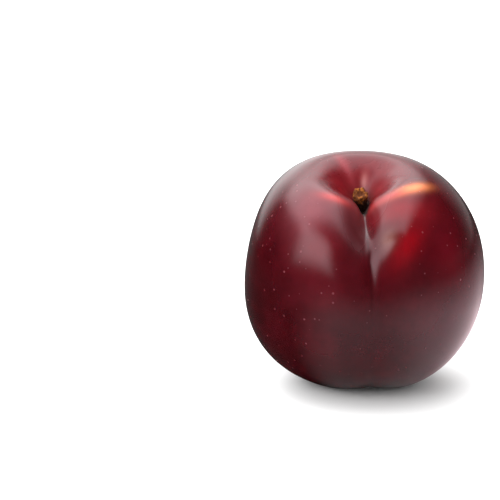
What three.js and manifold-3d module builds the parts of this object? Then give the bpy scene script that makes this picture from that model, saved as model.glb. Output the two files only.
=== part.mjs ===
// A ripe dark plum, as picked, lying on a small flat spot beside its blossom end.
// Two solids: the fruit, with its suture and its stem cavity, and the dry stub of stem in the cavity.
// Millimetres, +Z up, origin on the resting spot. The suture faces -Y and the stem end leans that way.

import * as THREE from "three";
import { mergeVertices } from "three/addons/utils/BufferGeometryUtils.js";
import Module from "manifold-3d";

// Driving dimensions, in millimetres. Polar angles run from the stem end, in radians.
const BODY = {
  halfWidth: 30.0,
  halfDepth: 29.8,
  stemHalf: 30.4,
  blossomHalf: 29.5,
  squareness: 2.12,
};
const CAVITY = { depth: 12.0, radius: 7.2, steepness: 1.5 };
const BLOSSOM_DIMPLE = { depth: 1.0, radius: 4.2 };

// The suture is a set of troughs laid along one meridian: depth, half width, where it is deepest
// and how far it runs from there.
const SUTURE = [
  { name: "valley", depth: 4.2, halfWidth: 7.0, polar: 0.56, run: 0.52 },
  { name: "notch", depth: 2.15, halfWidth: 2.95, polar: 0.63, run: 0.21 },
  { name: "stem channel", depth: 2.7, halfWidth: 1.7, polar: 0.24, run: 0.27 },
  { name: "upper crease", depth: 0.4, halfWidth: 1.4, polar: 0.9, run: 1.0 },
  { name: "lower crease", depth: 0.35, halfWidth: 1.4, polar: 2.5, run: 0.6 },
  { name: "cleft", depth: 1.2, halfWidth: 7.0, polar: 2.75, run: 0.5 },
];
const FRONT_FADE = 3.0; // how gently a trough ends where it reaches the far side of a pole

// Broad low swellings and flats: compass direction from the suture and polar angle in degrees,
// height, and reach in degrees.
const UNEVENNESS = [
  { compass: -140, polar: 55, height: 1.3, reach: 26 },
  { compass: -100, polar: 75, height: -1.1, reach: 26 },
  { compass: -75, polar: 125, height: 1.0, reach: 28 },
  { compass: -30, polar: 120, height: -0.7, reach: 30 },
  { compass: 60, polar: 140, height: 0.2, reach: 28 },
  { compass: 90, polar: 160, height: 0.8, reach: 28 },
  { compass: 17.6, polar: 49.9, height: 1.5, reach: 10.5 },
  { compass: 29.4, polar: 45.6, height: -0.6, reach: 14.9 },
];

const STEM_STUB = {
  topRadius: 1.9,
  waistRadius: 1.5,
  rootRadius: 1.8,
  height: 5.2,
  rootDepth: 1.1,
  pithRadius: 0.7,
  pithDepth: 0.6,
  tilt: 18, // degrees towards the suture
  leanLeft: 5, // degrees towards -X
};
const SOCKET_GAP = 0.3;

// How the fruit lies, in degrees, and how much of it the table flattens.
const POSE = { suture: 4.3, leanForward: 11.3, leanLeft: 1.9 };
const FLAT_DEPTH = 0.7;

const GRID = { around: 88, along: 54, sutureCrowding: 0.6, stemCrowding: 0.4 };
const STUB_SIDES = 24;
const CUTTER_SIZE = 100;
const MERGE_DISTANCE = 1e-4;

const { degToRad, radToDeg, clamp } = THREE.MathUtils;
const wasm = await Module();
wasm.setup();

const bell = (distance, reach) => Math.exp(-((distance / reach) ** 2));

// Unit vector at a polar angle from +Z and an azimuth that starts at -Y and grows towards +X.
function directionTo(polar, azimuth) {
  return new THREE.Vector3(
    Math.sin(polar) * Math.sin(azimuth),
    -Math.sin(polar) * Math.cos(azimuth),
    Math.cos(polar),
  );
}

// Radius of the plain rounded body in one direction.
function bodyRadius(polar, azimuth) {
  const waist = 1 / Math.hypot(
    Math.sin(azimuth) / BODY.halfWidth,
    Math.cos(azimuth) / BODY.halfDepth,
  );
  const half = Math.cos(polar) > 0 ? BODY.stemHalf : BODY.blossomHalf;
  const across = Math.abs(Math.sin(polar) / waist) ** BODY.squareness;
  const along = Math.abs(Math.cos(polar) / half) ** BODY.squareness;
  return (across + along) ** (-1 / BODY.squareness);
}

// How far the suture sinks below the body at a point of it.
function sutureDepth(point, polar) {
  const front = 0.5 * (1 + Math.tanh(-point.y / FRONT_FADE));
  const troughs = SUTURE.map(
    (t) => t.depth * bell(polar - t.polar, t.run) * bell(point.x, t.halfWidth),
  );
  return front * troughs.reduce((sum, depth) => sum + depth, 0);
}

// Height of the swellings, less that of the flats, in one direction.
function unevenHeight(direction) {
  return UNEVENNESS.reduce((sum, u) => {
    const centre = directionTo(degToRad(u.polar), degToRad(u.compass));
    return sum + u.height * bell(radToDeg(direction.angleTo(centre)), u.reach);
  }, 0);
}

// A point of the fruit's skin, in the fruit's own frame: centre at the origin, stem end at +Z.
function skinPoint(polar, azimuth) {
  const direction = directionTo(polar, azimuth);
  const point = direction.clone().multiplyScalar(bodyRadius(polar, azimuth));
  const rise = unevenHeight(direction) - sutureDepth(point, polar);
  point.addScaledVector(direction, rise);
  const offAxis = Math.hypot(point.x, point.y);
  if (point.z > 0) {
    point.z -= CAVITY.depth * Math.exp(-((offAxis / CAVITY.radius) ** CAVITY.steepness));
  } else {
    point.z += BLOSSOM_DIMPLE.depth * bell(offAxis, BLOSSOM_DIMPLE.radius);
  }
  return point;
}

// The skin as one closed grid, finer at the suture and in the stem cavity.
function skinGeometry() {
  const sphere = new THREE.SphereGeometry(1, GRID.around, GRID.along);
  const position = sphere.getAttribute("position");
  for (let i = 0; i < position.count; i++) {
    const along = Math.acos(clamp(position.getY(i), -1, 1));
    const around = Math.atan2(position.getX(i), position.getZ(i));
    const polar = along - GRID.stemCrowding * Math.sin(along);
    const azimuth = around - GRID.sutureCrowding * Math.sin(around);
    const p = skinPoint(polar, azimuth);
    position.setXYZ(i, p.x, p.y, p.z);
  }
  return sphere;
}

// The stub stands on its root at the origin: flared at both ends, with the pith sunk in its top.
function stubGeometry() {
  const s = STEM_STUB;
  const outline = [
    [0, -s.rootDepth],
    [s.rootRadius * 0.8, -s.rootDepth],
    [s.rootRadius, -s.rootDepth * 0.5],
    [s.rootRadius * 0.92, s.height * 0.15],
    [s.waistRadius, s.height * 0.5],
    [s.topRadius * 0.92, s.height * 0.8],
    [s.topRadius, s.height * 0.92],
    [s.topRadius * 0.85, s.height],
    [s.pithRadius * 1.3, s.height * 0.97],
    [s.pithRadius, s.height - s.pithDepth * 0.7],
    [0, s.height - s.pithDepth],
  ].map(([radius, height]) => new THREE.Vector2(radius, height));
  return new THREE.LatheGeometry(outline, STUB_SIDES).rotateX(Math.PI / 2);
}

// A hole for the stub's root, a small gap wider and deeper than the root.
function socketGeometry() {
  const radius = STEM_STUB.rootRadius + SOCKET_GAP;
  const depth = STEM_STUB.rootDepth + SOCKET_GAP;
  const clearance = STEM_STUB.height + depth;
  return new THREE.CylinderGeometry(radius, radius, clearance, STUB_SIDES)
    .rotateX(Math.PI / 2)
    .translate(0, 0, clearance / 2 - depth);
}

function solidOf(geometry) {
  geometry.deleteAttribute("normal");
  geometry.deleteAttribute("uv");
  const merged = mergeVertices(geometry, MERGE_DISTANCE);
  return new wasm.Manifold(
    new wasm.Mesh({
      numProp: 3,
      vertProperties: merged.getAttribute("position").array,
      triVerts: new Uint32Array(merged.index.array),
    }),
  );
}

function geometryOf(solid) {
  const mesh = solid.getMesh();
  const geometry = new THREE.BufferGeometry();
  geometry.setAttribute("position", new THREE.BufferAttribute(mesh.vertProperties, 3));
  geometry.setIndex(new THREE.BufferAttribute(mesh.triVerts, 1));
  geometry.computeVertexNormals();
  return geometry;
}

// The turn that lays the fruit's own frame on the table: suture round, then forward, then left.
function restingTurn() {
  return new THREE.Matrix4()
    .makeRotationY(-degToRad(POSE.leanLeft))
    .multiply(new THREE.Matrix4().makeRotationX(degToRad(POSE.leanForward)))
    .multiply(new THREE.Matrix4().makeRotationZ(degToRad(POSE.suture)));
}

// Height of the lowest point of a geometry after a turn.
function lowestHeight(geometry, turn) {
  const position = geometry.getAttribute("position");
  let lowest = Infinity;
  for (let i = 0; i < position.count; i++) {
    const p = new THREE.Vector3().fromBufferAttribute(position, i).applyMatrix4(turn);
    lowest = Math.min(lowest, p.z);
  }
  return lowest;
}

const skin = skinGeometry();
const turn = restingTurn();
const drop = lowestHeight(skin, turn) + FLAT_DEPTH;
const resting = new THREE.Matrix4().makeTranslation(0, 0, -drop).multiply(turn);

const cavityFloor = skinPoint(0, 0);
const stubPlace = new THREE.Matrix4()
  .makeTranslation(0, 0, cavityFloor.z)
  .multiply(new THREE.Matrix4().makeRotationY(-degToRad(STEM_STUB.leanLeft)))
  .multiply(new THREE.Matrix4().makeRotationX(degToRad(STEM_STUB.tilt)));
const table = new THREE.BoxGeometry(CUTTER_SIZE, CUTTER_SIZE, CUTTER_SIZE);
table.translate(0, 0, -CUTTER_SIZE / 2);

const fruitSolid = solidOf(skin)
  .subtract(solidOf(socketGeometry().applyMatrix4(stubPlace)))
  .transform(resting.toArray())
  .subtract(solidOf(table));

const fruit = new THREE.Mesh(
  geometryOf(fruitSolid),
  new THREE.MeshStandardMaterial({ color: 0x4a0a18, roughness: 0.35, metalness: 0 }),
);
fruit.name = "fruit";

const stemStub = new THREE.Mesh(
  geometryOf(solidOf(stubGeometry())),
  new THREE.MeshStandardMaterial({ color: 0x8a6434, roughness: 0.85, metalness: 0 }),
);
stemStub.name = "stem_stub";

const stemEnd = new THREE.Group();
stemEnd.applyMatrix4(resting.clone().multiply(stubPlace));
stemEnd.add(stemStub);

const plum = new THREE.Group();
plum.add(fruit, stemEnd);

export default plum;
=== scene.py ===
"""Looks for a ripe dark plum: skin with suture and stem cavity, and the dry stub of stem."""

import logging
import math
from dataclasses import dataclass, field
from enum import Enum
from typing import Union

import bmesh
import bpy
from bpy.types import Material, Node, NodeSocket, NodeTree, Object
from mathutils import Matrix, Vector, noise


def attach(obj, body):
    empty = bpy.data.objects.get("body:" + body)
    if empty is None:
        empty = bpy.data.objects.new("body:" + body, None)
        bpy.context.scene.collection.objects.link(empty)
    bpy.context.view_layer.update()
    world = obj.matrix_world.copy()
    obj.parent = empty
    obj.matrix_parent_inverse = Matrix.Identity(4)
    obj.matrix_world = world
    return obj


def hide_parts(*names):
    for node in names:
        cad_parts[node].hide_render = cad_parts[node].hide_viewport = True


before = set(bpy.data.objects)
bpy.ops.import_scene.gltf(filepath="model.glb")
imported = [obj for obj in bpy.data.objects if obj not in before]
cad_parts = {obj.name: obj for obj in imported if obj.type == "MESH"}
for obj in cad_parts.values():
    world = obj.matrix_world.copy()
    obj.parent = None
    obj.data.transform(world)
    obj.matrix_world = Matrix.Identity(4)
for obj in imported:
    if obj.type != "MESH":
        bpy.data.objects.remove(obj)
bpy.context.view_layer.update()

LOG = logging.getLogger("plum")
MM = 0.001
BODY_RADIUS = 30.0  # of the fruit in millimetres, for patches laid out on its skin
SHADED_SIDE = Vector((-0.793, 0.609, 0.0))  # level way to the side that the skin mirrors dimly
LIT_SIDE = Vector((0.90, 0.43, 0.0))  # level way to the side that it mirrors brightly

Number = Union["Field", float]
Triple = tuple[float, float, float]
Colour = Triple
Span = tuple[float, float]


class Surface(Enum):
    """Names of the values that the meshes carry for their finishes."""

    GROWN = "grown"
    HEIGHT = "stub_height"
    RING = "stub_ring"


class Spin(Enum):
    """Axis that a vector is turned about in a node tree."""

    ABOUT_X = "X_AXIS"
    ABOUT_Y = "Y_AXIS"
    ABOUT_Z = "Z_AXIS"


class Field:
    """A number that varies over a surface, held by one socket of a node tree."""

    def __init__(self, tree: NodeTree, socket: NodeSocket) -> None:
        """Wraps a socket of a tree."""
        self.tree = tree
        self.socket = socket

    def _with(self, operation: str, *others: Number) -> "Field":
        """Result of a math node whose first operand is this field."""
        return math_node(self.tree, operation, self, *others)

    def __add__(self, other: Number) -> "Field":
        """Sum."""
        return self._with("ADD", other)

    __radd__ = __add__

    def __sub__(self, other: Number) -> "Field":
        """Difference."""
        return self._with("SUBTRACT", other)

    def __rsub__(self, other: Number) -> "Field":
        """Difference from a plain number."""
        return math_node(self.tree, "SUBTRACT", other, self)

    def __mul__(self, other: Number) -> "Field":
        """Product."""
        return self._with("MULTIPLY", other)

    __rmul__ = __mul__

    def __truediv__(self, other: Number) -> "Field":
        """Quotient."""
        return self._with("DIVIDE", other)

    def __rtruediv__(self, other: Number) -> "Field":
        """Quotient of a plain number."""
        return math_node(self.tree, "DIVIDE", other, self)

    def __pow__(self, other: Number) -> "Field":
        """Power."""
        return self._with("POWER", other)

    def __neg__(self) -> "Field":
        """Opposite."""
        return self * -1.0

    def angle_from(self, other: "Field") -> "Field":
        """Angle of a plane point: this field is its first coordinate, the other its second."""
        return self._with("ARCTAN2", other)

    def of(self, function: str) -> "Field":
        """One of the math node's functions of a single number, such as SINE or EXPONENT."""
        return self._with(function)

    def above(self, limit: Number) -> "Field":
        """One where the field is above a limit, and zero elsewhere."""
        return self._with("GREATER_THAN", limit)

    def least(self, other: Number) -> "Field":
        """The smaller of two."""
        return self._with("MINIMUM", other)

    def most(self, other: Number) -> "Field":
        """The larger of two."""
        return self._with("MAXIMUM", other)

    def bell(self, reach: Number) -> "Field":
        """Bell curve of the field: one at zero, and 0.37 one reach away."""
        ratio = self / reach
        return (-(ratio * ratio)).of("EXPONENT")

    def ramp(self, low: float, high: float) -> "Field":
        """Smooth step of the field.

        Args:
            low: Where the result leaves zero.
            high: Where it reaches one. It may be below low, for a falling step.

        Returns:
            The step, from 0 to 1.
        """
        t = (self - low) / (high - low)
        t = t.most(0.0).least(1.0)
        return t * t * (3.0 - 2.0 * t)

    def blend(self, start: Number, end: Number) -> "Field":
        """Goes from start where the field is 0 to end where it is 1."""
        return (1.0 - self) * start + self * end


class Arrow:
    """A vector that varies over a surface, held by one socket of a node tree."""

    def __init__(self, tree: NodeTree, socket: NodeSocket) -> None:
        """Wraps a vector socket of a tree."""
        self.tree = tree
        self.socket = socket

    @classmethod
    def joined(cls, x: Number, y: Number, z: Number, tree: NodeTree) -> "Arrow":
        """Joins three components.

        Args:
            x: First component.
            y: Second component.
            z: Third component.
            tree: The tree that the vector goes in.

        Returns:
            The vector.
        """
        node = tree.nodes.new("ShaderNodeCombineXYZ")
        for slot, value in zip(node.inputs, (x, y, z)):
            feed(tree, slot, value)
        return cls(tree, node.outputs[0])

    def parts(self) -> tuple[Field, Field, Field]:
        """Splits the vector.

        Returns:
            Its three components.
        """
        node = self.tree.nodes.new("ShaderNodeSeparateXYZ")
        self.tree.links.new(self.socket, node.inputs[0])
        x, y, z = (Field(self.tree, out) for out in node.outputs)
        return x, y, z

    def _through(self, kind: str, inputs: dict[int | str, object], **choices: str) -> Node:
        """Passes the vector through a node.

        Args:
            kind: The node's type name.
            inputs: What its other inputs get, by number or name.
            choices: The node's own settings.

        Returns:
            The node.
        """
        node = self.tree.nodes.new(kind)
        for key, value in choices.items():
            setattr(node, key, value)
        for key, value in {0: self, **inputs}.items():
            feed(self.tree, node.inputs[key], value)
        return node

    def unit(self) -> "Arrow":
        """Same direction, length one."""
        node = self._through("ShaderNodeVectorMath", {}, operation="NORMALIZE")
        return Arrow(self.tree, node.outputs["Vector"])

    def dot(self, other: Vector) -> Field:
        """Scalar product."""
        node = self._through("ShaderNodeVectorMath", {1: other}, operation="DOT_PRODUCT")
        return Field(self.tree, node.outputs["Value"])

    def times(self, factor: Number) -> "Arrow":
        """Same direction, with the length multiplied."""
        node = self._through("ShaderNodeVectorMath", {"Scale": factor}, operation="SCALE")
        return Arrow(self.tree, node.outputs["Vector"])

    def turned(self, spin: Spin, angle: Number) -> "Arrow":
        """The vector turned about one axis, by an angle in radians."""
        node = self._through("ShaderNodeVectorRotate", {"Angle": angle}, rotation_type=spin.value)
        return Arrow(self.tree, node.outputs["Vector"])


def feed(tree: NodeTree, slot: NodeSocket, value: object) -> None:
    """Links a source to a socket, or sets the socket's own value.

    Args:
        tree: The tree that the socket is in.
        slot: The input socket.
        value: A Field, an Arrow or an output socket, or else a plain value or a data block.
    """
    source = value.socket if isinstance(value, (Field, Arrow)) else value
    if isinstance(source, NodeSocket):
        tree.links.new(source, slot)
    else:
        slot.default_value = source


def math_node(tree: NodeTree, operation: str, *operands: Number) -> Field:
    """Adds one math node.

    Args:
        tree: The tree that it goes in.
        operation: The node's operation.
        operands: Its inputs, in order.

    Returns:
        The node's result.
    """
    node = tree.nodes.new("ShaderNodeMath")
    node.operation = operation
    for slot, value in zip(node.inputs, operands):
        feed(tree, slot, value)
    return Field(tree, node.outputs[0])


class Grower:
    """Builds one geometry node tree with named inputs, and makes a plain mesh of its result."""

    def __init__(self, name: str) -> None:
        """Starts an empty tree with a geometry input and output.

        Args:
            name: Name of the tree and of the object that it makes.
        """
        self.name = name
        self.tree = bpy.data.node_groups.new(name, "GeometryNodeTree")
        for side in ("INPUT", "OUTPUT"):
            self.tree.interface.new_socket(
                "Geometry", in_out=side, socket_type="NodeSocketGeometry"
            )
        self.entry = self.tree.nodes.new("NodeGroupInput")
        self.settings: dict[str, float | int] = {}

    def size(self, name: str, value: float) -> Field:
        """Adds a named input for a size and returns it as a field."""
        return Field(self.tree, self._input(name, "NodeSocketFloat", value))

    def count(self, name: str, value: int) -> NodeSocket:
        """Adds a named whole-number input and returns its socket."""
        return self._input(name, "NodeSocketInt", value)

    def _input(self, name: str, kind: str, value: float | int) -> NodeSocket:
        """Adds a named input and remembers its value.

        Args:
            name: The input's name.
            kind: The type of its socket.
            value: What the modifier sets it to.

        Returns:
            The input's socket.
        """
        made = self.tree.interface.new_socket(name, in_out="INPUT", socket_type=kind)
        self.settings[made.identifier] = value
        return self.entry.outputs[name]

    def node(
        self, kind: str, inputs: dict[str, object] | None = None, **properties: object
    ) -> Node:
        """Adds a node.

        Args:
            kind: The node's type name.
            inputs: What its inputs are linked or set to, by name.
            properties: The node's own properties.

        Returns:
            The node.
        """
        made = self.tree.nodes.new(kind)
        for key, value in properties.items():
            setattr(made, key, value)
        for key, value in (inputs or {}).items():
            feed(self.tree, made.inputs[key], value)
        return made

    def here(self) -> Arrow:
        """Position of each point."""
        return Arrow(self.tree, self.node("GeometryNodeInputPosition").outputs[0])

    def random(
        self, seed: NodeSocket, low: float | Triple, high: float | Triple
    ) -> NodeSocket:
        """Random numbers or vectors, one for each point.

        Args:
            seed: What they are drawn from.
            low: Least value.
            high: Greatest value, of the same kind.

        Returns:
            The socket that gives them.
        """
        kind, sort = ("FLOAT", "VALUE") if isinstance(low, float) else ("FLOAT_VECTOR", "VECTOR")
        made = self.node("FunctionNodeRandomValue", {"Seed": seed}, data_type=kind)
        ends = [slot for slot in made.inputs if slot.type == sort and slot.name in ("Min", "Max")]
        for slot, value in zip(ends, (low, high)):
            slot.default_value = value
        return next(out for out in made.outputs if out.type == sort)

    def moved(self, shape: NodeSocket, place: Arrow) -> NodeSocket:
        """The shape with each point at a new place."""
        made = self.node("GeometryNodeSetPosition", {"Geometry": shape, "Position": place})
        return made.outputs[0]

    def named(
        self, shape: NodeSocket, label: Surface, value: Field | Arrow
    ) -> NodeSocket:
        """Stores a value on the points of a shape.

        Args:
            shape: The shape's socket.
            label: The name that it is stored under.
            value: The value.

        Returns:
            The socket of the shape that carries it.
        """
        kind = "FLOAT_VECTOR" if isinstance(value, Arrow) else "FLOAT"
        inputs = {"Geometry": shape, "Name": label.value, "Value": value}
        made = self.node("GeometryNodeStoreNamedAttribute", inputs, data_type=kind, domain="POINT")
        return made.outputs[0]

    def finish(
        self, shape: NodeSocket, material: Material, smooth: bool = True
    ) -> Object:
        """Closes the tree, runs it and keeps the result.

        Args:
            shape: The geometry that the tree makes.
            material: Its finish.
            smooth: Whether its faces are shaded smooth.

        Returns:
            An object at the origin that holds the result as a plain mesh.
        """
        steps = (
            ("GeometryNodeSetShadeSmooth", {"Shade Smooth": smooth}),
            ("GeometryNodeRealizeInstances", {}),
            ("GeometryNodeSetMaterial", {"Material": material}),
        )
        for kind, inputs in steps:
            shape = self.node(kind, {"Geometry": shape, **inputs}).outputs[0]
        end = self.tree.nodes.new("NodeGroupOutput")
        self.tree.links.new(shape, end.inputs[0])
        holder = bpy.data.objects.new(self.name, bpy.data.meshes.new(self.name + "_seed"))
        bpy.context.scene.collection.objects.link(holder)
        modifier = holder.modifiers.new(self.name, "NODES")
        modifier.node_group = self.tree
        for identifier, value in self.settings.items():
            modifier[identifier] = value
        holder.update_tag()
        graph = bpy.context.evaluated_depsgraph_get()
        mesh = bpy.data.meshes.new_from_object(holder.evaluated_get(graph))
        mesh.name = self.name
        holder.modifiers.clear()
        holder.data = mesh
        return holder


@dataclass(frozen=True)
class Noise:
    """Smooth noise: width of its lumps, how many finer layers it has, and how strong those are."""

    size: float
    detail: float = 2.0
    roughness: float = 0.5


class Painter:
    """Builds one material's node tree."""

    def __init__(self, name: str) -> None:
        """Starts a material with one principled shader.

        Args:
            name: The material's name.
        """
        self.material = bpy.data.materials.new(name)
        self.material.use_nodes = True
        self.tree = self.material.node_tree
        self.tree.nodes.clear()
        self.shader = self.tree.nodes.new("ShaderNodeBsdfPrincipled")
        self.out = self.tree.nodes.new("ShaderNodeOutputMaterial")
        self.tree.links.new(self.shader.outputs[0], self.out.inputs["Surface"])

    def place(self) -> Arrow:
        """Object coordinates, in millimetres."""
        node = self.tree.nodes.new("ShaderNodeTexCoord")
        return Arrow(self.tree, node.outputs["Object"]).times(1.0 / MM)

    def carried(self, label: Surface, vector: bool = False) -> Field | Arrow:
        """Reads a value that the mesh carries.

        Args:
            label: The name that it is stored under.
            vector: Whether it is a vector.

        Returns:
            The value.
        """
        node = self.tree.nodes.new("ShaderNodeAttribute")
        node.attribute_name = label.value
        if vector:
            return Arrow(self.tree, node.outputs["Vector"])
        return Field(self.tree, node.outputs["Fac"])

    def cloud(self, place: Arrow, noise_kind: Noise) -> Field:
        """Smooth noise.

        Args:
            place: Where it is read.
            noise_kind: Its size and layers, in the units of place.

        Returns:
            The noise, from 0 to 1, about 0.5 on average.
        """
        node = self.tree.nodes.new("ShaderNodeTexNoise")
        self.tree.links.new(place.socket, node.inputs["Vector"])
        node.inputs["Scale"].default_value = 1.0 / noise_kind.size
        node.inputs["Detail"].default_value = noise_kind.detail
        node.inputs["Roughness"].default_value = noise_kind.roughness
        return Field(self.tree, node.outputs["Fac"])

    def dots(self, place: Arrow, spacing: float) -> tuple[Field, Field]:
        """Scattered points.

        Args:
            place: Where they are read.
            spacing: Average distance between them, in the units of place.

        Returns:
            The distance to the nearest point, and a number from 0 to 1 of that point's own.
        """
        node = self.tree.nodes.new("ShaderNodeTexVoronoi")
        self.tree.links.new(place.socket, node.inputs["Vector"])
        node.inputs["Scale"].default_value = 1.0 / spacing
        split = self.tree.nodes.new("ShaderNodeSeparateColor")
        self.tree.links.new(node.outputs["Color"], split.inputs[0])
        away = Field(self.tree, node.outputs["Distance"]) * spacing
        return away, Field(self.tree, split.outputs[0])

    def layered(self, under: object, over: object, share: Number) -> NodeSocket:
        """One colour laid over another.

        Args:
            under: A colour socket, or a plain colour.
            over: The same, for the upper one.
            share: How far the upper one covers, from 0 to 1.

        Returns:
            The mixed colour's socket.
        """
        node = self.tree.nodes.new("ShaderNodeMix")
        node.data_type = "RGBA"
        feed(self.tree, node.inputs["Factor"], share)
        colour_slots = [s for s in node.inputs if s.type == "RGBA"]
        for slot, value in zip(colour_slots, (under, over)):
            feed(self.tree, slot, (*value, 1.0) if isinstance(value, tuple) else value)
        return next(s for s in node.outputs if s.type == "RGBA")

    def raise_by(self, height: Field) -> None:
        """Bumps the surface.

        Args:
            height: How far, in millimetres.
        """
        node = self.tree.nodes.new("ShaderNodeBump")
        node.inputs["Strength"].default_value = 1.0
        node.inputs["Distance"].default_value = MM
        self.tree.links.new(height.socket, node.inputs["Height"])
        self.tree.links.new(node.outputs[0], self.shader.inputs["Normal"])

    def set(self, **values: object) -> None:
        """Sets or links the shader's inputs, by name with underscores for spaces."""
        for key, value in values.items():
            feed(self.tree, self.shader.inputs[key.replace("_", " ")], value)


def heading(polar: float, compass: float) -> Vector:
    """Unit vector by two angles.

    Args:
        polar: Angle from +Z, in degrees.
        compass: Angle from -Y, in degrees, growing towards +X.

    Returns:
        The vector.
    """
    down, round_ = math.radians(polar), math.radians(compass)
    flat = math.sin(down)
    return Vector((flat * math.sin(round_), -flat * math.cos(round_), math.cos(down)))


@dataclass(frozen=True)
class SkinPlace:
    """Where each point of the skin is in the fruit's own frame, in millimetres.

    It holds the vector, its parts across, to the suture's side and up, the distance from the
    axis, and a step that is one on the stem's half.
    """

    grown: Arrow
    across: Field
    front: Field
    up: Field
    off_axis: Field
    stem_side: Field

    @classmethod
    def read(cls, painter: Painter, stem_side: Span) -> "SkinPlace":
        """Reads what the mesh carries.

        Args:
            painter: The material being built.
            stem_side: Heights between which the stem's half begins.

        Returns:
            The places.
        """
        grown = painter.carried(Surface.GROWN, vector=True)
        x, y, z = grown.parts()
        off_axis = (x * x + y * y).of("SQRT")
        return cls(grown, x, -y, z, off_axis, z.ramp(*stem_side))


@dataclass(frozen=True)
class SkinPatch:
    """A patch of colour on the skin; some are blushes, others painted highlights and reflections.
    Lengths are in millimetres and angles in degrees.
    """

    name: str
    compass: float
    polar: float
    width: float
    length: float
    turn: float
    colour: Colour
    share: float
    ragged: float = 0.25

    def cover(self, unit: Arrow, wobble: Field) -> Field:
        """How far the patch covers each point.

        Args:
            unit: Direction of the point in the fruit's own frame.
            wobble: Noise around zero that makes the edge uneven.

        Returns:
            The cover, from 0 to the patch's own share.
        """
        centre = heading(self.polar, self.compass)
        down = heading(self.polar + 90.0, self.compass)
        across = centre.cross(down)
        turn = math.radians(self.turn)
        long_way = down * math.cos(turn) + across * math.sin(turn)
        short_way = across * math.cos(turn) - down * math.sin(turn)
        a = unit.dot(short_way * BODY_RADIUS) / self.width
        b = unit.dot(long_way * BODY_RADIUS) / self.length
        near = unit.dot(centre).above(0.0)
        spread = a * a + b * b + wobble * self.ragged
        return (-spread).of("EXPONENT").least(1.0) * near * self.share


@dataclass(frozen=True)
class Fold:
    """A stretch of duller skin beside the notch, by its place and reach in millimetres."""

    across: float
    off_axis: float
    width: float
    length: float
    share: float

    def cover(self, at: SkinPlace) -> Field:
        """Cover of the fold, from 0 to its own share."""
        beside = (at.across - self.across).bell(self.width)
        return beside * (at.off_axis - self.off_axis).bell(self.length) * self.share


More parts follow.
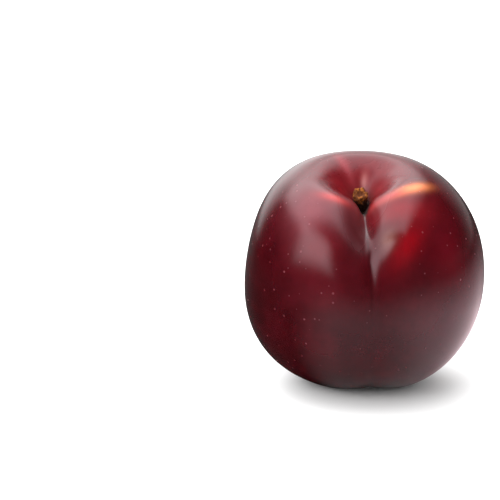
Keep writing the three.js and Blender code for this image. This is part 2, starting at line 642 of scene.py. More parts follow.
@dataclass(frozen=True)
class SkinFinish:
    """Waxy plum skin: maroon over purple-black, crimson in the cavity, blushes, painted highlights and
    reflections, pale dots, and painted shade in the notch.

    Lengths are in millimetres. A span says where a step leaves zero and where it reaches one, or
    what a share goes from and to.
    """

    dark: Colour = (0.022, 0.0002, 0.0012)
    maroon: Colour = (0.042, 0.0003, 0.0024)
    crimson: Colour = (0.185, 0.0022, 0.0060)
    shoulder: Colour = (0.075, 0.0018, 0.0050)
    dot: Colour = (0.22, 0.050, 0.065)
    bloom: Colour = (0.10, 0.035, 0.050)
    bark: Colour = (0.050, 0.020, 0.008)
    # dry brown tissue of the notch, deepened to near black as painted shade of its channel
    stain_and_shade: Colour = (0.010, 0.0035, 0.0018)
    broad_noise: Noise = Noise(22.0)
    mottle_noise: Noise = Noise(4.0, 3.0, 0.55)
    fine_noise: Noise = Noise(0.9, 3.0, 0.6)
    ragged_noise: Noise = Noise(2.6)
    fleck_noise: Noise = Noise(0.55)
    wax_noise: Noise = Noise(9.0, 3.0, 0.6)
    stem_side: Span = (-2.0, 6.0)
    pole_rise: Span = (0.0, 5.0)
    broad_part: float = 0.65
    shade_span: Span = (0.36, 0.66)
    shoulder_reach: float = 19.0
    shoulder_share: Span = (0.55, 1.15)
    hollow_reach: float = 9.5
    hollow_share: float = 0.8
    hollow_ragged: float = 1.1
    patch_ragged: float = 2.0
    dot_spacing: float = 2.2
    dot_radius: Span = (0.12, 0.28)
    dot_edge: Span = (1.5, 0.55)
    dot_share: Span = (0.08, 0.44)
    dotless_stem: Span = (7.0, 15.0)
    sparse_width: float = 13.0
    sparse_front: Span = (6.0, 20.0)
    sparse_share: float = 0.7
    line_width: float = 0.35
    line_front: Span = (1.0, 4.0)
    line_share: float = 0.55
    stain_and_shade_width: float = 2.3
    stain_and_shade_taper: float = 0.15
    stain_and_shade_ragged: float = 0.9
    stain_and_shade_edge: Span = (0.5, -0.4)
    stain_and_shade_end: Span = (11.5, 8.0)
    stain_and_shade_front: Span = (-2.0, 0.0)
    fleck_span: Span = (0.60, 0.70)
    ring_reach: float = 2.6
    ring_share: float = 0.55
    ring_ragged: float = 0.8
    tip_reach: float = 0.8
    tip_share: float = 0.9
    wax_span: Span = (0.48, 0.72)
    wax_share: float = 0.01
    fold_front: Span = (2.0, 6.0)
    roughness: float = 0.21
    roughness_span: Span = (0.12, 0.9)
    mottle_rough: float = 0.08
    dot_rough: float = 0.1
    stain_and_shade_rough: float = 0.4
    ring_rough: float = 0.3
    hollow_rough: float = 0.16
    fold_rough: float = 0.18
    fine_height: float = 0.0025
    mottle_height: float = 0.012
    dot_height: float = 0.003
    refraction: float = 1.42
    gloss_tint: Colour = (1.0, 0.82, 0.88)
    glow_share: float = 0.12
    glow_depths: Triple = (1.0, 0.25, 0.12)
    glow_scale: float = 2.0
    folds: tuple[Fold, ...] = (
        Fold(-3.0, 16.0, 2.8, 7.0, 1.0),
        Fold(3.4, 11.5, 2.2, 4.5, 0.8),
    )
    blushes_and_sheen: tuple[SkinPatch, ...] = (
        SkinPatch("red_leaf", 22.5, 54.0, 3.0, 6.2, -50.0, (0.165, 0.0002, 0.003), 0.95),
        # painted highlights: orange glow of light shining through the cavity's right rim, and its
        # fainter tail
        SkinPatch("right_streak", 51.5, 29.5, 1.45, 4.4, 68.0, (0.85, 0.24, 0.070), 1.0, 0.3),
        SkinPatch("right_streak_tail", 27.0, 26.0, 1.7, 5.5, 80.0, (0.32, 0.022, 0.022), 0.85, 0.3),
        # painted highlight: orange-red glow of light through the cavity's left rim
        SkinPatch("left_streak", -34.5, 27.5, 1.6, 3.4, -80.0, (0.46, 0.016, 0.010), 0.9, 0.3),
        SkinPatch("right_shoulder", 30.0, 37.0, 4.0, 7.0, 70.0, (0.18, 0.004, 0.008), 0.8),
        # painted reflection: mauve sheen of the lights on the left shoulder
        SkinPatch("left_shoulder", -42.0, 38.0, 6.0, 8.0, 40.0, (0.17, 0.032, 0.042), 0.75),
        SkinPatch("left_cheek", -28.0, 55.0, 5.0, 5.5, 0.0, (0.10, 0.001, 0.004), 0.7),
        # painted reflection: a lighter red patch in place of a reflection on the lower left front
        SkinPatch("left_front", -22.0, 74.0, 7.0, 6.0, 0.0, (0.095, 0.0010, 0.006), 0.4),
        SkinPatch("right_cheek", 44.5, 64.0, 5.0, 7.0, 0.0, (0.095, 0.001, 0.005), 0.6),
        # painted reflection: greyish sheen beside the notch
        SkinPatch("notch_film", 12.0, 50.0, 1.6, 2.6, -30.0, (0.20, 0.095, 0.075), 0.42, 0.3),
        # painted highlights: pink streak and spot of sheen on the cavity's back wall
        SkinPatch("back_streak", -154.0, 17.5, 1.3, 3.6, 0.0, (0.28, 0.03, 0.04), 0.5, 0.4),
        SkinPatch("back_spot", 167.0, 11.0, 1.0, 1.4, 0.0, (0.42, 0.16, 0.15), 0.5, 0.4),
    )

    def material(self) -> Material:
        """Builds the skin's material.

        Returns:
            The material.
        """
        p = Painter("plum_skin")
        at = SkinPlace.read(p, self.stem_side)
        mottle = p.cloud(at.grown, self.mottle_noise)
        ragged = p.cloud(at.grown, self.ragged_noise) - 0.5
        hollow = self.hollow_share + ragged * self.hollow_ragged
        hollow = at.stem_side * at.off_axis.bell(self.hollow_reach) * hollow
        dot, own = self._dots(p, at)
        thinned = 1.0 - self._sparse(at)
        ring = at.off_axis.bell(self.ring_reach) * at.up.ramp(*self.pole_rise)
        stain_and_shade = self._stain_and_shade(at, ragged)
        unit = at.grown.unit()

        flecks = p.cloud(at.grown, self.fleck_noise).ramp(*self.fleck_span)
        ring_cover = ring * (self.ring_share + ragged * self.ring_ragged).most(0.0)
        tip = at.off_axis.bell(self.tip_reach) * (-at.up).ramp(*self.pole_rise)
        film = p.cloud(at.grown, self.wax_noise).ramp(*self.wax_span) * self.wax_share
        line = at.across.bell(self.line_width) * at.front.ramp(*self.line_front)
        # skin patches: blushes, and painted highlights and reflections laid on as colour
        layers = [(b.colour, b.cover(unit, ragged * self.patch_ragged)) for b in self.blushes_and_sheen]
        layers += [
            (self.dot, dot * own.blend(*self.dot_share) * thinned),
            (self.dark, line * self.line_share),
            # notch tissue, near black as painted shade of the channel, with bark flecks
            (p.layered(self.stain_and_shade, self.bark, flecks), stain_and_shade),
            (self.bark, ring_cover),
            (self.bark, tip * self.tip_share),
            (self.bloom, film),
        ]
        colour = self._ground(p, at, mottle, hollow)
        for over, cover in layers:
            colour = p.layered(colour, over, cover)

        folded = sum((fold.cover(at) for fold in self.folds), 0.0)
        folded = folded * at.front.ramp(*self.fold_front) * at.stem_side
        rough = self.roughness + (mottle - 0.5) * self.mottle_rough + dot * self.dot_rough
        rough = rough + stain_and_shade * self.stain_and_shade_rough + ring * self.ring_rough
        rough = rough + hollow * self.hollow_rough + folded * self.fold_rough
        least, most = self.roughness_span
        fine = p.cloud(at.grown, self.fine_noise)
        relief = (fine - 0.5) * self.fine_height + (mottle - 0.5) * self.mottle_height
        p.raise_by(relief + dot * thinned * self.dot_height)
        p.set(
            Base_Color=colour,
            Roughness=rough.most(least).least(most),
            IOR=self.refraction,
            Specular_Tint=(*self.gloss_tint, 1.0),
            Subsurface_Weight=self.glow_share,
            Subsurface_Radius=self.glow_depths,
            Subsurface_Scale=self.glow_scale * MM,
        )
        return p.material

    def _ground(
        self, p: Painter, at: SkinPlace, mottle: Field, hollow: Field
    ) -> NodeSocket:
        """Maroon over purple-black, warmer on the shoulder and crimson in the cavity.

        Args:
            p: The material being built.
            at: Where the points are.
            mottle: Noise as wide as the skin's small clouds.
            hollow: How far each point is in the cavity.

        Returns:
            The colour's socket.
        """
        broad = p.cloud(at.grown, self.broad_noise)
        shade = broad * self.broad_part + mottle * (1.0 - self.broad_part)
        shoulder = at.stem_side * at.off_axis.bell(self.shoulder_reach)
        shoulder = shoulder * mottle.blend(*self.shoulder_share)
        colour = p.layered(self.dark, self.maroon, shade.ramp(*self.shade_span))
        colour = p.layered(colour, self.shoulder, shoulder.least(1.0))
        return p.layered(colour, self.crimson, hollow.most(0.0).least(1.0))

    def _dots(self, p: Painter, at: SkinPlace) -> tuple[Field, Field]:
        """Small dots, close at the blossom end and left out near the stem.

        Args:
            p: The material being built.
            at: Where the points are.

        Returns:
            The cover of the dots, and a number from 0 to 1 of each dot's own.
        """
        away, own = p.dots(at.grown, self.dot_spacing)
        kept = at.off_axis.ramp(*self.dotless_stem).most(1.0 - at.stem_side)
        return (away / own.blend(*self.dot_radius)).ramp(*self.dot_edge) * kept, own

    def _sparse(self, at: SkinPlace) -> Field:
        """How much fainter the dots are at the middle of the front."""
        return at.across.bell(self.sparse_width) * at.front.ramp(*self.sparse_front) * self.sparse_share

    def _stain_and_shade(self, at: SkinPlace, ragged: Field) -> Field:
        """Cover of the dry brown tissue in the notch, darkened as painted shade of the deep channel,
        from the stem to the suture.

        Args:
            at: Where the points are.
            ragged: Noise around zero.

        Returns:
            The cover, from 0 to 1.
        """
        width = self.stain_and_shade_width - at.off_axis * self.stain_and_shade_taper + ragged * self.stain_and_shade_ragged
        beside = (at.across.of("ABSOLUTE") - width).ramp(*self.stain_and_shade_edge)
        along = at.off_axis.ramp(*self.stain_and_shade_end) * at.front.ramp(*self.stain_and_shade_front)
        return beside * along * at.stem_side


@dataclass(frozen=True)
class DryStemFinish:
    """Dry stem: dark brown sides deepened to near black as painted shade, an ochre rim and a dark pith.
    """

    # brown stem side, darkened towards black as painted shade
    side: Colour = (0.030, 0.007, 0.003)
    rim: Colour = (0.27, 0.080, 0.010)
    bark: Colour = (0.095, 0.024, 0.003)
    pith: Colour = (0.080, 0.018, 0.003)
    speck: Colour = (0.012, 0.006, 0.004)
    grain_noise: Noise = Noise(0.35, 3.0, 0.65)
    lump_noise: Noise = Noise(0.9)
    rim_span: Span = (0.45, 0.62)
    top_rise: Span = (0.55, 0.85)
    top_ragged: float = 0.5
    pith_span: Span = (0.52, 0.36)
    pith_rise: Span = (0.6, 0.75)
    pith_ragged: float = 0.25
    speck_span: Span = (0.60, 0.74)
    speck_share: float = 0.75
    grain_height: float = 0.16
    lump_height: float = 0.12
    roughness: float = 0.82
    refraction: float = 1.3

    def material(self) -> Material:
        """Builds the stub's material.

        Returns:
            The material.
        """
        p = Painter("dry_stem")
        here = p.place()
        height = p.carried(Surface.HEIGHT)
        grain = p.cloud(here, self.grain_noise)
        lumps = p.cloud(here, self.lump_noise)
        top = p.layered(self.bark, self.rim, lumps.ramp(*self.rim_span))
        top_cover = (height + (lumps - 0.5) * self.top_ragged).ramp(*self.top_rise)
        pith = p.carried(Surface.RING) + (grain - 0.5) * self.pith_ragged
        pith_cover = pith.ramp(*self.pith_span) * height.ramp(*self.pith_rise)
        # the near-black sides are painted shade over brown; the top keeps its ochre and bark colours
        colour = p.layered(self.side, top, top_cover)
        colour = p.layered(colour, self.pith, pith_cover)
        colour = p.layered(colour, self.speck, grain.ramp(*self.speck_span) * self.speck_share)
        p.raise_by((grain - 0.5) * self.grain_height + (lumps - 0.5) * self.lump_height)
        p.set(Base_Color=colour, Roughness=self.roughness, IOR=self.refraction)
        return p.material


@dataclass(frozen=True)
class FloorFinish:
    """Plain pale table top, clear from below.

    Where the skin mirrors it, it is dimmer at the front, on the shaded side and far off, and rosy
    with the skin's own light on the lit side.
    """

    colour: Colour = (0.86, 0.86, 0.86)
    rosy: Colour = (0.84, 0.66, 0.70)
    unlit: Colour = (0.0, 0.0, 0.0)
    roughness: float = 0.6
    refraction: float = 1.3
    shares: Span = (0.45, 1.16)
    share_side: Span = (-0.3, 0.8)
    rosy_side: Span = (0.0, 0.8)
    shaded_side: Span = (0.36, -0.34)
    near_reach: float = 62.0
    fading: float = -1.1

    def _mirrored(self, painter: Painter) -> NodeSocket:
        """The floor's colour in the skin's reflections.

        Args:
            painter: The material being built.

        Returns:
            The colour's socket.
        """
        here = painter.place()
        x, y, _ = here.parts()
        reach = (x * x + y * y).of("SQRT") + 1.0
        lit = here.dot(LIT_SIDE) / reach
        shaded = here.dot(SHADED_SIDE) / reach
        near = ((reach / self.near_reach) ** self.fading).least(1.0)
        share = lit.ramp(*self.share_side).blend(*self.shares) * shaded.ramp(*self.shaded_side)
        colour = painter.layered(self.colour, self.rosy, lit.ramp(*self.rosy_side))
        return painter.layered(self.unlit, colour, share * near)

    def material(self) -> Material:
        """Builds the floor's material.

        Returns:
            The material.
        """
        p = Painter("pale_floor")
        path = p.tree.nodes.new("ShaderNodeLightPath")
        mirrored = Field(p.tree, path.outputs["Is Glossy Ray"])
        shown = p.layered(self.colour, self._mirrored(p), mirrored)
        p.set(Base_Color=shown, Roughness=self.roughness, IOR=self.refraction)
        side = p.tree.nodes.new("ShaderNodeNewGeometry")
        clear = p.tree.nodes.new("ShaderNodeBsdfTransparent")
        mix = p.tree.nodes.new("ShaderNodeMixShader")
        mixed = (side.outputs["Backfacing"], p.shader.outputs[0], clear.outputs[0])
        for source, slot in zip(mixed, mix.inputs):
            p.tree.links.new(source, slot)
        p.tree.links.new(mix.outputs[0], p.out.inputs["Surface"])
        return p.material


@dataclass(frozen=True)
class Trough:
    """One trough of the suture, laid along the meridian that faces -Y. Angles are in radians."""

    name: str
    depth: float
    half_width: float
    polar: float
    run: float


@dataclass(frozen=True)
class Swelling:
    """One broad low swelling of the skin, or a flat. Angles are in degrees."""

    name: str
    compass: float
    polar: float
    height: float
    reach: float


@dataclass(frozen=True)
class Pose:
    """How the fruit lies on the table, in degrees."""

    suture: float = 4.3
    lean_forward: float = 11.3
    lean_left: float = 1.9

    def matrix(self) -> Matrix:
        """Turn from the fruit's own frame to the resting one."""
        return (
            Matrix.Rotation(-math.radians(self.lean_left), 4, "Y")
            @ Matrix.Rotation(math.radians(self.lean_forward), 4, "X")
            @ Matrix.Rotation(math.radians(self.suture), 4, "Z")
        )


@dataclass
class Fruit:
    """Skin and flesh in one piece. Lengths are in millimetres."""

    half_width: float = 30.0
    half_depth: float = 29.8
    stem_half: float = 30.4
    blossom_half: float = 29.5
    squareness: float = 2.12
    cavity_depth: float = 12.0
    cavity_radius: float = 7.2
    cavity_steepness: float = 1.5
    dimple_depth: float = 1.0
    dimple_radius: float = 4.2
    front_fade: float = 3.0
    flat_depth: float = 0.7
    flat_edge: float = 0.25
    pucker_height: float = 0.05
    pucker_folds: int = 11
    pucker_turn: float = 0.6
    pucker_span: Span = (1.5, 4.5)
    grid: int = 111
    pose: Pose = field(default_factory=Pose)
    finish: SkinFinish = field(default_factory=SkinFinish)
    troughs: tuple[Trough, ...] = (
        Trough("valley", 4.2, 7.0, 0.56, 0.52),
        Trough("notch", 2.15, 2.95, 0.63, 0.21),
        Trough("stem channel", 2.7, 1.7, 0.24, 0.27),
        Trough("upper crease", 0.4, 1.4, 0.9, 1.0),
        Trough("lower crease", 0.35, 1.4, 2.5, 0.6),
        Trough("cleft", 1.2, 7.0, 2.75, 0.5),
    )
    swellings: tuple[Swelling, ...] = (
        Swelling("left shoulder", -140.0, 55.0, 1.3, 26.0),
        Swelling("left flat", -100.0, 75.0, -1.1, 26.0),
        Swelling("left foot", -75.0, 125.0, 1.0, 28.0),
        Swelling("front flat", -30.0, 120.0, -0.7, 30.0),
        Swelling("right foot", 60.0, 140.0, 0.2, 28.0),
        Swelling("back foot", 90.0, 160.0, 0.8, 28.0),
        Swelling("suture lip", 17.6, 49.9, 1.5, 10.5),
        Swelling("right hollow", 29.4, 45.6, -0.6, 14.9),
    )

    def build(self) -> Object:
        """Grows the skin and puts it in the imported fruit's place.

        Returns:
            The skin.
        """
        g = Grower("plum_skin")
        cube = g.node("GeometryNodeMeshCube", {"Size": (2.0, 2.0, 2.0)})
        edge = g.count("Points along an edge", self.grid)
        for axis in "XYZ":
            g.tree.links.new(edge, cube.inputs["Vertices " + axis])
        ball = self._ball(g, cube.outputs["Mesh"])
        own = self._own_place(g)
        grown = g.moved(g.named(ball, Surface.GROWN, own), own)
        lying = self._lying(g, g.moved(grown, self._turned(g)))
        piece = g.finish(lying, self.finish.material())
        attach(piece, "root")
        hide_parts("fruit")
        return piece

    def _ball(self, g: Grower, cube: NodeSocket) -> NodeSocket:
        """Rounds a cube's grid to a unit ball with even cells."""
        even = [(part * (math.pi / 4.0)).of("TANGENT") for part in g.here().parts()]
        return g.moved(cube, Arrow.joined(*even, tree=g.tree).unit())

    def _own_place(self, g: Grower) -> Arrow:
        """Skin point in the fruit's own frame, from the unit ball's point.

        Args:
            g: The tree being built.

        Returns:
            The point, in millimetres.
        """
        way = g.here()
        radius = self._body_radius(g, way)
        swell = sum((self._swelling(g, way, s) for s in self.swellings), 0.0)
        place = way.times(radius + swell - self._sink(g, way, radius))
        px, py, pz = place.parts()
        off_axis = (px * px + py * py).of("SQRT")
        dimple_reach = g.size("Dimple radius", self.dimple_radius)
        dimple = g.size("Dimple depth", self.dimple_depth) * off_axis.bell(dimple_reach)
        rise = pz.above(0.0).blend(dimple, -self._cavity(g, px.angle_from(py), off_axis))
        return Arrow.joined(px, py, pz + rise, tree=g.tree)

    def _body_radius(self, g: Grower, way: Arrow) -> Field:
        """Radius of the plain rounded body.

        Args:
            g: The tree being built.
            way: Direction from the centre.

        Returns:
            The radius that way.
        """
        dx, dy, dz = way.parts()
        blossom_half = g.size("Blossom half", self.blossom_half)
        half = dz.above(0.0).blend(blossom_half, g.size("Stem half", self.stem_half))
        across_x = dx / g.size("Half width", self.half_width)
        across_y = dy / g.size("Half depth", self.half_depth)
        square = g.size("Squareness", self.squareness)
        across = (across_x * across_x + across_y * across_y).of("SQRT") ** square
        return (across + (dz / half).of("ABSOLUTE") ** square) ** (-1.0 / square)

    def _sink(self, g: Grower, way: Arrow, radius: Field) -> Field:
        """Depth of the suture below the plain body.

        Args:
            g: The tree being built.
            way: Direction from the centre.
            radius: The body's radius that way.

        Returns:
            The depth.
        """
        dx, dy, dz = way.parts()
        polar = dz.least(1.0).most(-1.0).of("ARCCOSINE")
        x, y = dx * radius, dy * radius
        front = 0.5 + 0.5 * (-y / g.size("Front fade", self.front_fade)).of("TANH")
        depth = 0.0
        for t in self.troughs:
            along = (polar - g.size(t.name + " polar", t.polar)).bell(g.size(t.name + " run", t.run))
            beside = x.bell(g.size(t.name + " half width", t.half_width))
            depth = depth + g.size(t.name + " depth", t.depth) * along * beside
        return front * depth

    def _cavity(self, g: Grower, around: Field, off_axis: Field) -> Field:
        """Depth of the stem cavity, with shallow folds that run down it.

        Args:
            g: The tree being built.
            around: Angle round the axis.
            off_axis: Distance from the axis.

        Returns:
            The depth.
        """
        steep = g.size("Cavity steepness", self.cavity_steepness)
        inward = off_axis / g.size("Cavity radius", self.cavity_radius)
        funnel = (-(inward**steep)).of("EXPONENT")
        wave = (around * self.pucker_folds + self.pucker_turn).of("SINE")
        folds = wave * funnel * off_axis.ramp(*self.pucker_span)
        depth = g.size("Cavity depth", self.cavity_depth) * funnel
        return depth + g.size("Pucker", self.pucker_height) * folds

    def _swelling(self, g: Grower, way: Arrow, swelling: Swelling) -> Field:
        """Height that one swelling adds.

        Args:
            g: The tree being built.
            way: Direction from the centre.
            swelling: The swelling.

        Returns:
            The height.
        """
        centre = heading(swelling.polar, swelling.compass)
        apart = way.dot(centre).least(1.0).most(-1.0).of("ARCCOSINE")
        reach = g.size(swelling.name + " reach", math.radians(swelling.reach))
        return g.size(swelling.name + " height", swelling.height) * apart.bell(reach)

    def _turned(self, g: Grower) -> Arrow:
        """Turns each point the way that the fruit lies.

        Args:
            g: The tree being built.

        Returns:
            The turned point.
        """
        place = g.here()
        turns = (
            ("Suture turn", Spin.ABOUT_Z, self.pose.suture),
            ("Lean forward", Spin.ABOUT_X, self.pose.lean_forward),
            ("Lean left", Spin.ABOUT_Y, -self.pose.lean_left),
        )
        for name, spin, angle in turns:
            place = place.turned(spin, g.size(name, math.radians(angle)))
        return place

    def _lying(self, g: Grower, shape: NodeSocket) -> NodeSocket:
        """Sets the fruit down, flattens what would go through the table, and goes to metres.

        Args:
            g: The tree being built.
            shape: The turned fruit's socket.

        Returns:
            The socket of the fruit as it lies.
        """
        x, y, z = g.here().parts()
        lowest = g.node("GeometryNodeAttributeStatistic", {"Geometry": shape, "Attribute": z})
        drop = Field(g.tree, lowest.outputs["Min"]) + g.size("Flat depth", self.flat_depth)
        lifted = z - drop
        edge = g.size("Flat edge", self.flat_edge)
        flat = 0.5 * (lifted + (lifted * lifted + edge * edge).of("SQRT"))
        return g.moved(shape, Arrow.joined(x * MM, y * MM, flat * MM, tree=g.tree))

    def cavity_floor(self, piece: Object) -> Vector:
        """Finds where the stem grows.

        Args:
            piece: The skin.

        Returns:
            The place, in metres.
        """
        grown = piece.data.attributes[Surface.GROWN.value].data
        best = min(
            (i for i in range(len(piece.data.vertices)) if grown[i].vector.z > 0.0),
            key=lambda i: math.hypot(grown[i].vector.x, grown[i].vector.y),
        )
        return piece.data.vertices[best].co.copy()


@dataclass
class StemStub:
    """Dry end of the stem, broken off short. Lengths are in millimetres."""

    top_radius: float = 1.9
    waist_radius: float = 1.5
    root_radius: float = 1.8
    height: float = 5.2
    root_depth: float = 1.1
    pith_radius: float = 0.7
    pith_depth: float = 0.6
    tilt: float = 18.0
    lean_left: float = 5.0
    sides: int = 72
    torn_from: float = 0.6
    torn_height: float = 0.9
    lump_height: float = 0.30
    lump_scales: Span = (1.7, 0.9)
    ridge_height: float = 0.16
    ridge_scales: Span = (4.2, 0.5)
    ridge_shift: float = 7.0
    fibres: int = 26
    fibre_sides: int = 5
    fibre_steps: int = 3
    fibre_length: float = 0.55
    fibre_radius: float = 0.07
    fibre_tip: float = 0.012
    fibre_ring: float = 0.82
    fibre_rise: float = 0.97
    shift_range: tuple[Triple, Triple] = ((-0.22, -0.22, -0.10), (0.22, 0.22, 0.02))
    lean_range: tuple[Triple, Triple] = ((-0.5, -0.5, 0.0), (0.5, 0.5, math.tau))
    stretch_range: Span = (0.5, 1.25)
    seed: int = 4
    finish: DryStemFinish = field(default_factory=DryStemFinish)

    def build(self, floor: Vector, turn: Matrix) -> list[Object]:
        """Makes the stub and its torn fibres.

        Args:
            floor: Where the stem grows from the fruit, in metres.
            turn: The fruit's resting turn.

        Returns:
            The stub and the ring of fibres.
        """
        lean = Matrix.Rotation(-math.radians(self.lean_left), 4, "Y")
        tilt = Matrix.Rotation(math.radians(self.tilt), 4, "X")
        place = Matrix.Translation(floor) @ turn @ lean @ tilt
        material = self.finish.material()
        wood = self._wood(place, material)
        torn = self._torn_rim(place, material)
        for piece in (wood, torn):
            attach(piece, "root")
        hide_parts("stem_stub")
        return [wood, torn]

    def _outline(self) -> list[tuple[float, float]]:
        """Radius and height along the stub's side, from the middle of its root to its pith."""
        return [
            (self.root_radius * 0.8, -self.root_depth),
            (self.root_radius, -self.root_depth * 0.5),
            (self.root_radius * 0.95, 0.0),
            (self.root_radius * 0.9, self.height * 0.15),
            (self.waist_radius * 1.02, self.height * 0.35),
            (self.waist_radius, self.height * 0.5),
            (self.waist_radius * 1.06, self.height * 0.65),
            (self.top_radius * 0.92, self.height * 0.8),
            (self.top_radius, self.height * 0.92),
            (self.top_radius * 0.93, self.height * 0.98),
            (self.top_radius * 0.8, self.height),
            (self.pith_radius * 1.7, self.height * 0.985),
            (self.pith_radius * 1.3, self.height * 0.965),
            (self.pith_radius, self.height - self.pith_depth * 0.6),
            (self.pith_radius * 0.5, self.height - self.pith_depth),
        ]

    def _noise(self, angle: float, height: float, scales: Span, shift: float = 0.0) -> float:
        """Noise round the stub's side.

        Args:
            angle: Angle round the stub, in radians.
            height: Height on the stub.
            scales: How finely the noise runs round the stub and up it.
            shift: How far along the stub it is moved.

        Returns:
            The noise, around zero.
        """
        around, up = scales
        x, y = math.cos(angle) * around, math.sin(angle) * around
        return noise.noise(Vector((x, y, height * up + shift)))

    def _ring(self, shape: bmesh.types.BMesh, radius: float, height: float) -> list[bmesh.types.BMVert]:
        """Adds one uneven ring of the stub's side.

        Args:
            shape: The mesh being built, with the layers that the finish reads.
            radius: The ring's mean radius.
            height: Its mean height.

        Returns:
            The ring's points in order.
        """
        high = shape.verts.layers.float[Surface.HEIGHT.value]
        wide = shape.verts.layers.float[Surface.RING.value]
        share = min(1.0, radius / self.waist_radius)
        torn = self.torn_height * share * (height > self.height * self.torn_from)
        ring = []
        for i in range(self.sides):
            angle = math.tau * i / self.sides
            lump = self._noise(angle, height, self.lump_scales)
            ridge = self._noise(angle, height, self.ridge_scales, self.ridge_shift)
            uneven = self.lump_height * lump + self.ridge_height * ridge
            r = radius * (1.0 + share * uneven)
            vert = shape.verts.new((r * math.cos(angle), r * math.sin(angle), height + torn * lump))
            vert[high] = max(0.0, height / self.height)
            vert[wide] = radius / self.top_radius
            ring.append(vert)
        return ring

    def _wood(self, place: Matrix, material: Material) -> Object:
        """Turned form of the stub with an uneven, cracked surface.

        Args:
            place: Where the stub stands.
            material: Its finish.

        Returns:
            The stub.
        """
        shape = bmesh.new()
        for label in (Surface.HEIGHT, Surface.RING):
            shape.verts.layers.float.new(label.value)
        rings = [self._ring(shape, radius, height) for radius, height in self._outline()]
        for low, up in zip(rings, rings[1:]):
            for i in range(self.sides):
                j = (i + 1) % self.sides
                shape.faces.new((low[i], low[j], up[j], up[i]))
        shape.faces.new(list(reversed(rings[0])))
        shape.faces.new(rings[-1])
        bmesh.ops.recalc_face_normals(shape, faces=shape.faces)
        piece = linked(shape, "stub_wood", material)
        piece.data.shade_smooth()
        self._stand(piece, place)
        return piece

    def _torn_rim(self, place: Matrix, material: Material) -> Object:
        """Short fibres that stand up round the broken rim.

        Args:
            place: Where the stub stands.
            material: Their finish.

        Returns:
            The fibres as one piece.
        """
        g = Grower("stub_fibres")
        count = g.count("Fibres", self.fibres)
        radius = g.size("Ring radius", self.top_radius * self.fibre_ring)
        ring = g.node("GeometryNodeMeshCircle", {"Vertices": count, "Radius": radius})
        seed = g.count("Seed", self.seed)
        spread = g.node(
            "GeometryNodeSetPosition",
            {"Geometry": ring.outputs[0], "Offset": g.random(seed, *self.shift_range)},
        )
        fibre = g.node(
            "GeometryNodeMeshCone",
            {
                "Vertices": self.fibre_sides,
                "Side Segments": self.fibre_steps,
                "Radius Top": self.fibre_tip,
                "Radius Bottom": g.size("Fibre radius", self.fibre_radius),
                "Depth": g.size("Fibre length", self.fibre_length),
            },
        )
        spot = g.node(
            "GeometryNodeInstanceOnPoints",
            {
                "Points": spread.outputs[0],
                "Instance": fibre.outputs["Mesh"],
                "Rotation": g.random(seed, *self.lean_range),
                "Scale": g.random(seed, *self.stretch_range),
            },
        )
        tall = g.named(spot.outputs[0], Surface.HEIGHT, g.size("Height mark", 1.0))
        piece = g.finish(tall, material, smooth=False)
        piece.data.transform(Matrix.Translation((0.0, 0.0, self.height * self.fibre_rise)))
        self._stand(piece, place)
        return piece

    def _stand(self, piece: Object, place: Matrix) -> None:
        """Takes a piece from the stub's own millimetres to its place on the fruit."""
        piece.data.transform(Matrix.Scale(MM, 4))
        piece.data.transform(place)


@dataclass(frozen=True)
class Softbox:
    """One soft light. The compass starts at the camera's side and grows towards +X.

    It is made of panels one behind the other, each a little smaller than the last, so that its
    edge fades in the skin's gloss as a real diffuser's does.
    """

    name: str
    compass: float
    elevation: float
    distance: float
    width: float
    height: float
    radiance: float
    feather: float = 0.2
    panels: int = 4
    level: bool = False

    def build(self, target: Vector) -> list[Object]:
        """Hangs the light so that it faces a target, or level above the table.

        Args:
            target: What it is aimed at.

        Returns:
            Its panels.
        """
        way = heading(90.0 - self.elevation, self.compass)
        made = []
        for i in range(self.panels):
            lamp = bpy.data.lights.new(f"{self.name}_{i}", "AREA")
            lamp.shape = "RECTANGLE"
            growth = self.feather * (1.0 - 2.0 * i / (self.panels - 1))
            growth = growth * min(self.width, self.height)
            lamp.size = self.width + growth
            lamp.size_y = self.height + growth
            lamp.energy = self.radiance / self.panels * math.pi * lamp.size * lamp.size_y
            holder = bpy.data.objects.new(lamp.name, lamp)
            holder.location = target + way * (self.distance + MM * i)
            if not self.level:
                holder.rotation_euler = way.to_track_quat("Z", "Y").to_euler()
            holder.visible_camera = False
            bpy.context.scene.collection.objects.link(holder)
            made.append(holder)
        return made


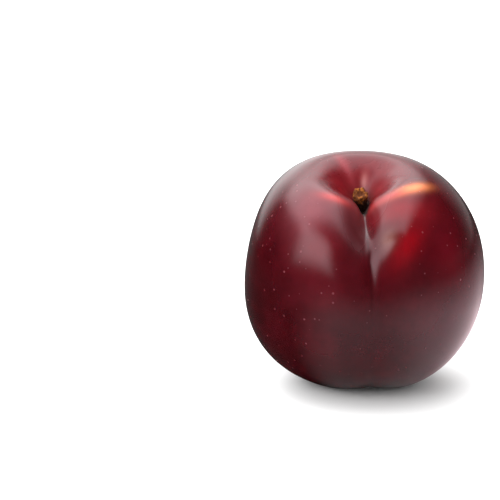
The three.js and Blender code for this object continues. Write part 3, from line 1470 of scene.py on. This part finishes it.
@dataclass
class Studio:
    """Pale table, soft light and the camera."""

    target: Vector = field(default_factory=lambda: Vector((0.0, 0.0, 0.028)))
    camera_elevation: float = 15.0
    camera_distance: float = 0.45
    focal_pixels: float = 1804.0
    frame_pixels: float = 500.0
    target_pixel: tuple[float, float] = (363.2, 271.2)
    sensor: float = 36.0
    floor_half: float = 6.0
    clip: Span = (0.01, 50.0)
    backdrop_glow: float = 1.0
    fill_glow: float = 1.2
    room_glow: float = 0.02
    haze_glow: float = 0.12
    haze_height: float = 0.12
    haze_side: Span = (0.70, 0.05)
    rear_glow: float = 0.40
    rear_side: Span = (0.50, 0.95)
    rear_height: Span = (0.75, 0.35)
    floor_finish: FloorFinish = field(default_factory=FloorFinish)
    lights: tuple[Softbox, ...] = (
        Softbox("left_softbox", -44.0, 28.5, 0.60, 0.485, 0.344, 4.4, feather=0.35),
        Softbox("top_softbox", -136.0, 60.5, 0.574, 0.90, 0.78, 3.3, level=True),
        Softbox("back_softbox", -162.0, 22.0, 0.80, 0.58, 0.58, 1.7, feather=0.5),
    )

    def build(self) -> None:
        """Makes everything round the plum."""
        self._floor()
        self._world()
        for light in self.lights:
            lamps = light.build(self.target)
            LOG.info("%s: %d panels", light.name, len(lamps))
        self._camera()
        bpy.context.scene.view_settings.view_transform = "Standard"

    def _floor(self) -> None:
        """Wide level table top."""
        shape = bmesh.new()
        bmesh.ops.create_grid(shape, x_segments=1, y_segments=1, size=self.floor_half)
        linked(shape, "floor", self.floor_finish.material())

    def _world(self) -> None:
        """White backdrop for the camera, even fill for matt surfaces, dim room in reflections."""
        world = bpy.data.worlds.new("room")
        bpy.context.scene.world = world
        world.use_nodes = True
        tree = world.node_tree
        tree.nodes.clear()
        coord = tree.nodes.new("ShaderNodeTexCoord")
        way = Arrow(tree, coord.outputs["Generated"])
        _, y, z = way.parts()
        haze = z.bell(self.haze_height) * way.dot(SHADED_SIDE).ramp(*self.haze_side)
        rear = y.ramp(*self.rear_side) * z.ramp(*self.rear_height)
        mirrored = self.room_glow + self.haze_glow * haze + self.rear_glow * rear
        path = tree.nodes.new("ShaderNodeLightPath")
        seen = Field(tree, path.outputs["Is Camera Ray"])
        spread = Field(tree, path.outputs["Is Diffuse Ray"])
        glow = spread.blend(mirrored, self.fill_glow)
        background = tree.nodes.new("ShaderNodeBackground")
        background.inputs["Color"].default_value = (1.0, 1.0, 1.0, 1.0)
        feed(tree, background.inputs["Strength"], seen.blend(glow, self.backdrop_glow))
        out = tree.nodes.new("ShaderNodeOutputWorld")
        tree.links.new(background.outputs[0], out.inputs["Surface"])

    def _camera(self) -> None:
        """Camera at the photograph's height and side, with the plum right of the middle."""
        rise = math.radians(self.camera_elevation)
        forward = Vector((0.0, math.cos(rise), -math.sin(rise)))
        right = Vector((1.0, 0.0, 0.0))
        up = right.cross(forward)
        place = self.target - forward * self.camera_distance
        per_pixel = self.camera_distance / self.focal_pixels
        middle = self.frame_pixels / 2.0
        aim = self.target
        aim = aim - right * (self.target_pixel[0] - middle) * per_pixel
        aim = aim + up * (self.target_pixel[1] - middle) * per_pixel
        data = bpy.data.cameras.new("camera")
        data.sensor_width = self.sensor
        data.lens = self.focal_pixels / self.frame_pixels * self.sensor
        data.clip_start, data.clip_end = self.clip
        camera = bpy.data.objects.new("camera", data)
        camera.location = place
        camera.rotation_euler = (aim - place).to_track_quat("-Z", "Y").to_euler()
        bpy.context.scene.collection.objects.link(camera)
        bpy.context.scene.camera = camera


def linked(shape: bmesh.types.BMesh, name: str, material: Material) -> Object:
    """Turns a mesh under construction into an object.

    Args:
        shape: The mesh, which is freed.
        name: The object's name.
        material: Its finish.

    Returns:
        The object, linked to the scene.
    """
    mesh = bpy.data.meshes.new(name)
    shape.to_mesh(mesh)
    shape.free()
    mesh.materials.append(material)
    piece = bpy.data.objects.new(name, mesh)
    bpy.context.scene.collection.objects.link(piece)
    return piece


def report(piece: Object) -> None:
    """Logs one piece's size and triangle count.

    Args:
        piece: The piece.
    """
    piece.data.calc_loop_triangles()
    size = ", ".join(f"{d / MM:.1f}" for d in piece.dimensions)
    LOG.info("%s: %s mm, %d triangles", piece.name, size, len(piece.data.loop_triangles))


def main() -> None:
    """Builds the plum and the studio."""
    logging.basicConfig(level=logging.INFO, format="%(name)s: %(message)s")
    Studio().build()
    fruit = Fruit()
    skin = fruit.build()
    report(skin)
    for piece in StemStub().build(fruit.cavity_floor(skin), fruit.pose.matrix()):
        report(piece)


if __name__ == "__main__":
    main()
